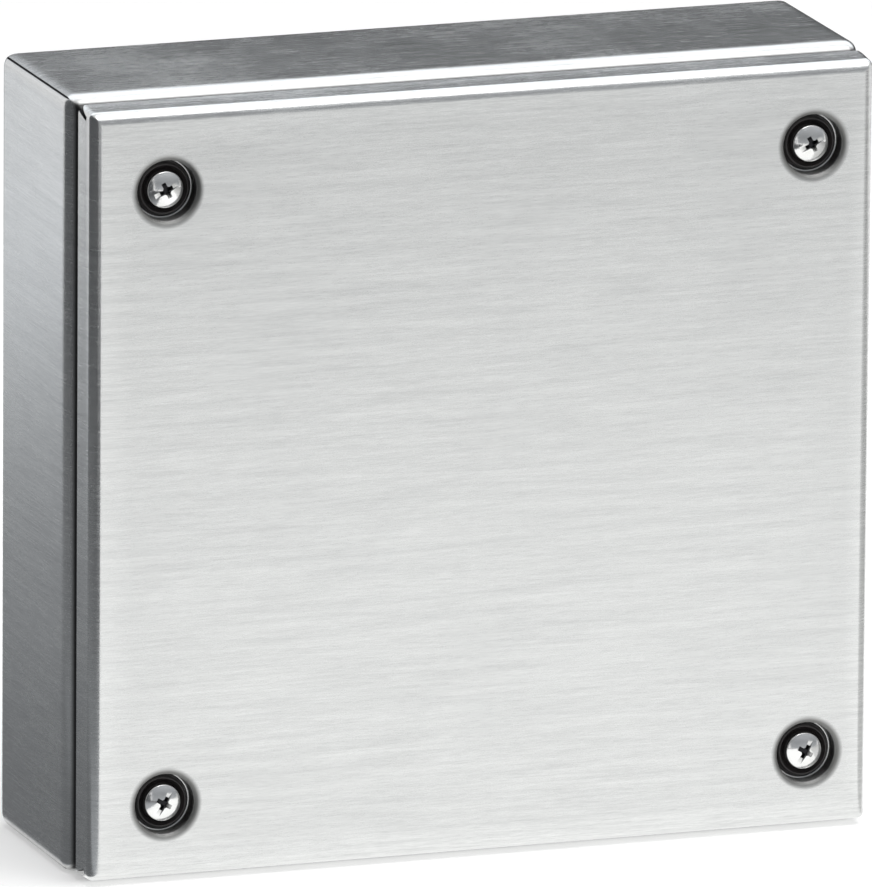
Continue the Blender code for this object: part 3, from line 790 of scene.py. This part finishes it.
def in_slits(middles):
    """True for the faces in the slanted slits: their middles lie within half a slit's width of its plane."""
    forward = -middles[:, 1] - COVER_EDGE
    up = HALF_Z - COVER_INSET - SLIT_START - np.abs(middles[:, 2] - CENTRE_Z)
    across = HALF_X - COVER_INSET - np.abs(middles[:, 0] - CENTRE_X)
    off_plane = np.abs(up - forward * SLIT_LEAN / SLIT_LENGTH)
    near = (off_plane < CORNER_SLIT / 2 + SLIT_MARGIN) & (across < SLIT_REACH + SLIT_MARGIN)
    return near & (forward > CUT_MARGIN) & (forward < SLIT_LENGTH + SLIT_MARGIN)


def mark_cover(mesh):
    """Writes the dull pressed metal with painted shade round the recesses, and the painted shade in the
    slits.

    The mask round the recesses rises from 0 to 1 inwards over PRESSED_SHADE_FADE, and it falls back to
    PRESSED_SHADE_INSIDE over a third of that before the ledge.
    """
    offsets = mesh_points(mesh)[:, None, [0, 2]] - np.array(list(screw_centres().values()))[None]
    reach = np.hypot(offsets[..., 0], offsets[..., 1]).min(1)
    # Painted shade round each recess, which also makes the pressed metal duller
    inward = np.clip((PRESSED_SHADE_START - reach) / PRESSED_SHADE_FADE, 0, 1)
    outward = np.clip(3 * (reach - LEDGE_RADIUS) / PRESSED_SHADE_FADE, PRESSED_SHADE_INSIDE, 1)
    write_mask(mesh, "pressed_and_shaded", "POINT", inward * outward)
    # Painted shade: the faces inside the corner slits are darkened
    write_mask(mesh, "gap_shade", "FACE", in_slits(face_centres(mesh)))


def make_cover():
    """The cover's folded sheet with its pressed recesses and corner slits."""
    section = recess_section()
    recesses = [turned_surface(section, x, z) for x, z in screw_centres().values()]
    grids = [folded_sheet(cover_section()), *recesses]
    loops = [[(number, ring) for number in range(len(grids))] for ring in (0, -1)]
    mesh = cut_out(mesh_of("cover_skin", grids, loops), slit_cutters())
    lay_brushing(mesh, DEPTH)
    mark_cover(mesh)
    add_piece("cover_sheet", mesh, "brushed_stainless", "cover")


# Screws and washers

def threaded_shank(x, z, top, bottom):
    """A cylinder whose radius rises and falls with the turn and the height, which gives a helix.

    The radius is SHANK_RADIUS less THREAD_DEPTH times a triangle wave of forward / pitch + turn, and it
    shrinks over the last THREAD_END to THREAD_POINT of itself.
    """
    turn = np.linspace(0, 2 * np.pi, SMALL_ROUND_STEPS, endpoint=False)[None, :]
    forward = np.arange(top, bottom, -THREAD_PITCH / THREAD_STEPS)[:, None]
    phase = (forward / THREAD_PITCH + turn / (2 * np.pi)) % 1.0
    radius = SHANK_RADIUS - THREAD_DEPTH * (1 - np.abs(2 * phase - 1))
    radius = radius * np.clip((forward - bottom) / THREAD_END, THREAD_POINT, 1.0)
    across, up = x + radius * np.cos(turn), z + radius * np.sin(turn)
    return np.stack([across, np.broadcast_to(-forward, radius.shape), up], -1)


def mark_wells(mesh, x, z, crown):
    """Writes the painted shade in the head's recesses.

    It is a point's depth below the dome as a share of WELL_DEPTH, less WELL_START, from 0 to 1. Beyond
    WELL_REACH of the head's radius it is 0.
    """
    points = mesh_points(mesh)
    reach = np.hypot(points[:, 0] - x, points[:, 2] - z) / HEAD_RADIUS
    sunk = crown - HEAD_DOME * reach ** 2 + points[:, 1]
    share = np.where(reach < WELL_REACH, np.clip(sunk / WELL_DEPTH - WELL_START, 0.0, 1.0), 0.0)
    write_mask(mesh, "sunk", "POINT", share)


def head_section(crown, seat):
    """(radius, forward) from the crown over the dome, whose height falls with the square of the radius."""
    rim = bend(HEAD_RADIUS - HEAD_EDGE, seat + HEAD_HEIGHT - HEAD_EDGE, HEAD_EDGE, HEAD_EDGE_DEGREES, 0, 6)
    reach = np.linspace(DOME_MIDDLE, 1.0, DOME_STEPS)
    edge_radius, edge_forward = rim[0]
    dome = np.column_stack([reach * edge_radius, edge_forward + (crown - edge_forward) * (1 - reach ** 2)])
    under = np.array([(HEAD_RADIUS, seat), (SHANK_RADIUS, seat), (SHANK_RADIUS, seat - NECK_LENGTH)])
    return np.vstack([dome, rim[1:], under])


def head_cutters(x, z, crown, turn):
    """The slot, the two tapered wings of the cross and the round well in its middle."""
    place = (x, -crown, z)
    slot = (4 * HEAD_RADIUS, 2 * SLOT_DEPTH, SLOT_WIDTH)
    wing = (CROSS_SPAN, 2 * CROSS_DEPTH, CROSS_WIDTH)
    end_radius = CROSS_HOLE_TAPER * CROSS_HOLE
    well = np.array([(CROSS_HOLE, CLEAR_OF_HEAD), (CROSS_HOLE, 0.0), (end_radius, -CROSS_DEPTH)])
    well_grid = turned_surface(well + (0.0, crown), x, z, WELL_STEPS)
    return [
        block(place, slot, turn),
        block(place, wing, turn, CROSS_TAPER),
        block(place, wing, turn + math.pi / 2, CROSS_TAPER),
        mesh_of("well", [well_grid], BOTH_ENDS),
    ]


def make_screws():
    """The four cover screws: a cut head and a threaded shank each."""
    for corner, (x, z) in screw_centres().items():
        node = f"cover_screw_{corner}"
        crown = -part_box(node)[0][1]
        seat = crown - HEAD_HEIGHT - HEAD_DOME
        head = mesh_of("screw_head", [turned_surface(head_section(crown, seat), x, z)], BOTH_ENDS)
        head = cut_out(head, head_cutters(x, z, crown, math.radians(SLOT_DEGREES[corner])))
        shank = threaded_shank(x, z, seat - NECK_LENGTH, seat - SHANK_LENGTH)
        mesh = join_meshes(f"{node}_turned", [head, mesh_of("screw_shank", [shank], BOTH_ENDS)])
        mark_wells(mesh, x, z, crown)
        add_piece(f"{node}_turned", mesh, "zinc_plated_steel", node)


def washer_section(seat, outer):
    """(radius, forward) round a washer: a flat for the head, a groove, a rounded crest, a sloped side."""
    bore, base = SHANK_RADIUS + SHANK_GAP, seat + WASHER_BASE
    crest, crest_height = outer - WASHER_CREST_INSET, base + WASHER_CREST
    groove = (HEAD_RADIUS + WASHER_GROOVE_WIDTH / 2, base - WASHER_GROOVE)
    return np.vstack([
        [(bore, base), (HEAD_RADIUS - CREST_ROUND, base), (HEAD_RADIUS, base - CREST_ROUND / 2)],
        np.linspace(groove, (crest - CREST_ROUND, crest_height - CREST_ROUND), 4),
        bend(crest, crest_height - CREST_ROUND, CREST_ROUND, 150, 40, 6),
        [(outer, crest_height - WASHER_SLOPE), (outer, seat + RECESS_FILLET)],
        [(outer - RECESS_FILLET, seat), (bore, seat)],
    ])


def make_washers():
    """The four black seal washers, each a ring turned from its section."""
    for corner, (x, z) in screw_centres().items():
        node = f"seal_washer_{corner}"
        low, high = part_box(node)
        section = washer_section(-high[1], (high[0] - low[0]) / 2)
        mesh = mesh_of(f"{node}_ring", [turned_surface(section, x, z)], closed=True)
        add_piece(f"{node}_ring", mesh, "black_plastic", node)


def dress_inner_pieces():
    """Gives the solids that stay as they are, inside the box, their finishes."""
    slots = {entry["node"]: entry["material_slot"] for entry in frame["record"]["subparts"]}
    for name, node in frame["nodes"].items():
        finish = "bracket_steel" if name.startswith("corner_bracket") else slots[name]
        node.data.materials.clear()
        node.data.materials.append(FINISHES[finish])


# Studio

def seen_rays(tree):
    """1 for rays from the camera and for rays that metal or glass sends on."""
    path = new_node(tree, "ShaderNodeLightPath")
    seen = arithmetic(tree, "MAXIMUM", path.outputs["Is Camera Ray"], path.outputs["Is Glossy Ray"])
    return arithmetic(tree, "MAXIMUM", seen, path.outputs["Is Transmission Ray"])


def floor_finish():
    """A pale floor that shows as white where it is lit and keeps the shadow."""
    material, tree, shader = new_finish("pale_floor")
    set_inputs(shader, Roughness=0.9)
    shader.inputs["Base Color"].default_value = (0.86, 0.86, 0.86, 1.0)
    shader.inputs["Emission Color"].default_value = (1.0, 1.0, 1.0, 1.0)
    glow = arithmetic(tree, "MULTIPLY", seen_rays(tree), FLOOR_GLOW)
    join(tree, glow, shader.inputs["Emission Strength"])
    return material


def card_finish(name, colour):
    """A card that shines by its own tone and colour and reflects nothing."""
    material, tree, shader = new_finish(name)
    set_inputs(shader, Roughness=1.0, Emission_Strength=1.0)
    shader.inputs["Base Color"].default_value = (0.0, 0.0, 0.0, 1.0)
    shader.inputs["Specular IOR Level"].default_value = 0.0
    tone = new_node(tree, "ShaderNodeAttribute", attribute_name="tone")
    tint = mix_colour(tree, 1.0, tone.outputs["Color"], (*colour, 1.0), "MULTIPLY")
    join(tree, tint, shader.inputs["Emission Color"])
    return material


def shaded_card(name, start_edge, end_edge, tones, colour=COOL):
    """A card between two edges, which only reflections see. The table of tones is spread over it evenly.

    Its rows run from the start edge to the end edge and its columns along the edges.
    """
    table = np.atleast_2d(tones)
    step = np.linspace(0, 1, CARD_STEPS + 1)
    lines = np.array([np.interp(step, np.linspace(0, 1, len(table)), column) for column in table.T]).T
    tone = np.array([np.interp(step, np.linspace(0, 1, table.shape[1]), line) for line in lines])
    across = step[:, None]
    start = np.array(start_edge[0]) * (1 - across) + np.array(start_edge[1]) * across
    end = np.array(end_edge[0]) * (1 - across) + np.array(end_edge[1]) * across
    points = start[None] * (1 - across[:, None]) + end[None] * across[:, None]
    row, column = np.meshgrid(np.arange(CARD_STEPS), np.arange(CARD_STEPS), indexing="ij")
    corner = row * (CARD_STEPS + 1) + column
    faces = np.stack([corner, corner + 1, corner + CARD_STEPS + 2, corner + CARD_STEPS + 1], -1)
    mesh = bpy.data.meshes.new(name)
    mesh.from_pydata(points.reshape(-1, 3).tolist(), [], faces.reshape(-1, 4).tolist())
    write_mask(mesh, "tone", "POINT", tone.ravel())
    mesh.materials.append(card_finish(f"{name}_face", colour))
    card = bpy.data.objects.new(name, mesh)
    bpy.context.scene.collection.objects.link(card)
    card.visible_camera = False
    card.visible_diffuse = False
    card.visible_shadow = False
    card.visible_transmission = False


def upright_card(name, start, end, low, high, tones):
    """A card standing on the line between two floor points."""
    shaded_card(name, [(*start, low), (*start, high)], [(*end, low), (*end, high)], tones)


def softbox(name, place, target, size, watts):
    """A rectangular lamp that faces its target."""
    lamp = bpy.data.lights.new(name, "AREA")
    lamp.shape = "RECTANGLE"
    lamp.size, lamp.size_y = size
    lamp.energy = watts
    holder = bpy.data.objects.new(name, lamp)
    bpy.context.scene.collection.objects.link(holder)
    holder.location = place
    aim = Vector(target) - Vector(place)
    holder.rotation_euler = aim.to_track_quat("-Z", "Y").to_euler()


def light_studio():
    """White all round, softer as light than as it is seen, and two softboxes."""
    world = bpy.data.worlds.new("studio_white")
    bpy.context.scene.world = world
    world.use_nodes = True
    tree = world.node_tree
    background = tree.nodes["Background"]
    background.inputs["Color"].default_value = (1.0, 1.0, 1.0, 1.0)
    strength = spread(tree, seen_rays(tree), 0.0, 1.0, SOFT_WHITE, 1.0)
    join(tree, strength, background.inputs["Strength"])
    for name, lamp in SOFTBOXES.items():
        softbox(name, **lamp)


def place_floor():
    """A wide level floor under the box."""
    mesh = bpy.data.meshes.new("pale_floor")
    sides = [(-1, -1), (1, -1), (1, 1), (-1, 1)]
    corner_points = [(side_x * FLOOR_REACH, side_y * FLOOR_REACH, FLOOR_Z) for side_x, side_y in sides]
    mesh.from_pydata(corner_points, [], [(0, 1, 2, 3)])
    mesh.materials.append(floor_finish())
    floor = bpy.data.objects.new("pale_floor", mesh)
    bpy.context.scene.collection.objects.link(floor)


def place_cards():
    """Dark cards and floor mats that give the metal what the photographed studio gave it to reflect."""
    low, above = FLOOR_Z + MAT_LIFT, FLOOR_Z + 2 * MAT_LIFT
    for name, start, end, bottom, top, tones in (
        ("left_card", (LEFT_WALL, -0.85), (LEFT_WALL, 0.50), low, LEFT_CARD_TOP, LEFT_CARD_TONES),
        ("back_card", (-0.30, BACK_WALL), (1.60, BACK_WALL), low, BACK_CARD_TOP, BACK_CARD_TONES),
        ("high_card", (-0.60, 0.56), (1.90, 0.56), BACK_CARD_TOP, STUDIO_TOP, HIGH_CARD_TONES),
        ("front_card", (-0.60, FRONT_WALL), (2.60, FRONT_WALL), low, STUDIO_TOP, FRONT_CARD_TONES),
    ):
        upright_card(name, start, end, bottom, top, tones)
    for name, height, start_edge, end_edge, tones, colour in (
        ("mat_behind", above, [(-BESIDE_BOX, BEFORE_BOX), (-0.18, BEFORE_BOX)],
         [(-0.10, 0.68), (-0.50, 0.68)], BEHIND_MAT_TONES, COOL),
        ("mat_on_the_left", low, [(-0.49, 0.70), (-BESIDE_BOX, 0.70)],
         [(-0.49, BEFORE_BOX), (-BESIDE_BOX, BEFORE_BOX)], LEFT_MAT_TONES, COOL),
        ("mat_front_left", low, [(-0.49, BEFORE_BOX), (-BESIDE_BOX, BEFORE_BOX)],
         [(-0.49, -0.85), (-BESIDE_BOX, -0.85)], FRONT_LEFT_MAT_TONES, COOL),
        ("mat_in_front", above, [(-BESIDE_BOX, UNDER_COVER), (BESIDE_BOX, UNDER_COVER)],
         [(0.06, -1.18), (0.78, -1.18)], FRONT_MAT_TONES, NEUTRAL),
        ("mat_on_the_right", low, [(BESIDE_BOX, -0.066), (0.60, 0.10)], [(0.80, -1.18), (1.60, -1.18)],
         RIGHT_MAT_TONES, NEUTRAL),
    ):
        edges = [[(*point, height) for point in edge] for edge in (start_edge, end_edge)]
        shaded_card(name, *edges, tones, colour)


def place_camera():
    """The fitted camera: azimuth, elevation and roll about a point in the cover's front plane."""
    azimuth, elevation, roll = map(math.radians, (CAMERA_AZIMUTH, CAMERA_ELEVATION, CAMERA_ROLL))
    back = np.array([
        math.sin(azimuth) * math.cos(elevation),
        -math.cos(azimuth) * math.cos(elevation),
        math.sin(elevation),
    ])
    level = np.cross((0.0, 0.0, 1.0), back)
    level /= np.linalg.norm(level)
    upright = np.cross(back, level)
    right = level * math.cos(roll) + upright * math.sin(roll)
    up = upright * math.cos(roll) - level * math.sin(roll)
    target = np.array([CAMERA_TARGET[0], -DEPTH, CAMERA_TARGET[1]])
    lens = bpy.data.cameras.new("photo_camera")
    lens.lens = CAMERA_LENS
    lens.clip_start = 0.1
    lens.clip_end = 100.0
    camera = bpy.data.objects.new("photo_camera", lens)
    bpy.context.scene.collection.objects.link(camera)
    place = np.eye(4)
    place[:3, :3] = np.column_stack([right, up, back])
    place[:3, 3] = target + back * CAMERA_DISTANCE
    camera.matrix_world = Matrix(place.tolist())
    bpy.context.scene.camera = camera


def main():
    """Dresses the box and sets it in its studio."""
    bpy.context.scene.view_settings.view_transform = "Standard"
    dress_inner_pieces()
    make_body()
    make_cover()
    make_screws()
    make_washers()
    place_floor()
    place_cards()
    light_studio()
    place_camera()


main()
